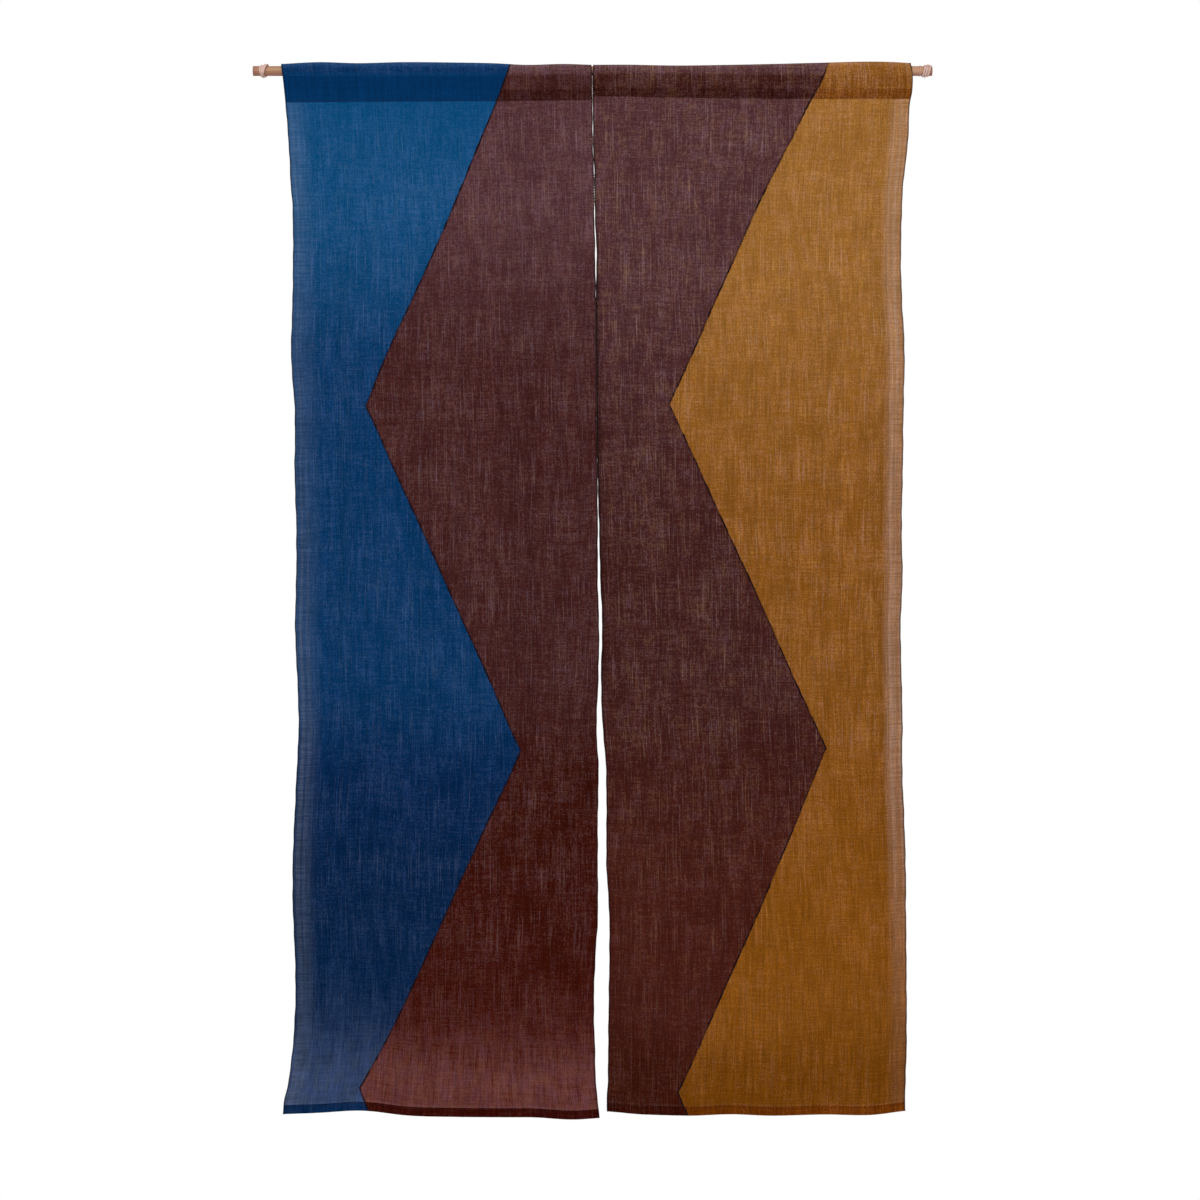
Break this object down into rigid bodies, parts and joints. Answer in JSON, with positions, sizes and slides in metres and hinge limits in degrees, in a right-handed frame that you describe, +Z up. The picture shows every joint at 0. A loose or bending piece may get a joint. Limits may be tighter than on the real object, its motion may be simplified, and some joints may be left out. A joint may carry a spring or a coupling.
{
  "type": "noren curtain on rod",
  "caption": "Split doorway curtain of sheer plain-woven hemp, its panels hung by sewn sleeves on a round wooden rod with a wound rubber band at each end.",
  "frame": {"origin": "middle of the rod's axis", "axes": "+X along the rod to the viewer's right, +Y to the back, away from a viewer who faces the front of the cloth, +Z up"},
  "size_m": [0.97, 0.02, 1.5093],
  "materials": {
    "cloth_left": "sheer slub-woven hemp, matt, dyed blue and brown",
    "cloth_right": "sheer slub-woven hemp, matt, dyed brown and ochre",
    "rod_wood": "sanded, unvarnished, fine straight grain",
    "band_rubber": "pale translucent rubber, satin"
  },
  "bodies": {
    "root": {"panel_left": "cloth_left", "panel_right": "cloth_right", "rod": "rod_wood", "stopper_left": "band_rubber", "stopper_right": "band_rubber"}
  },
  "joints": []
}
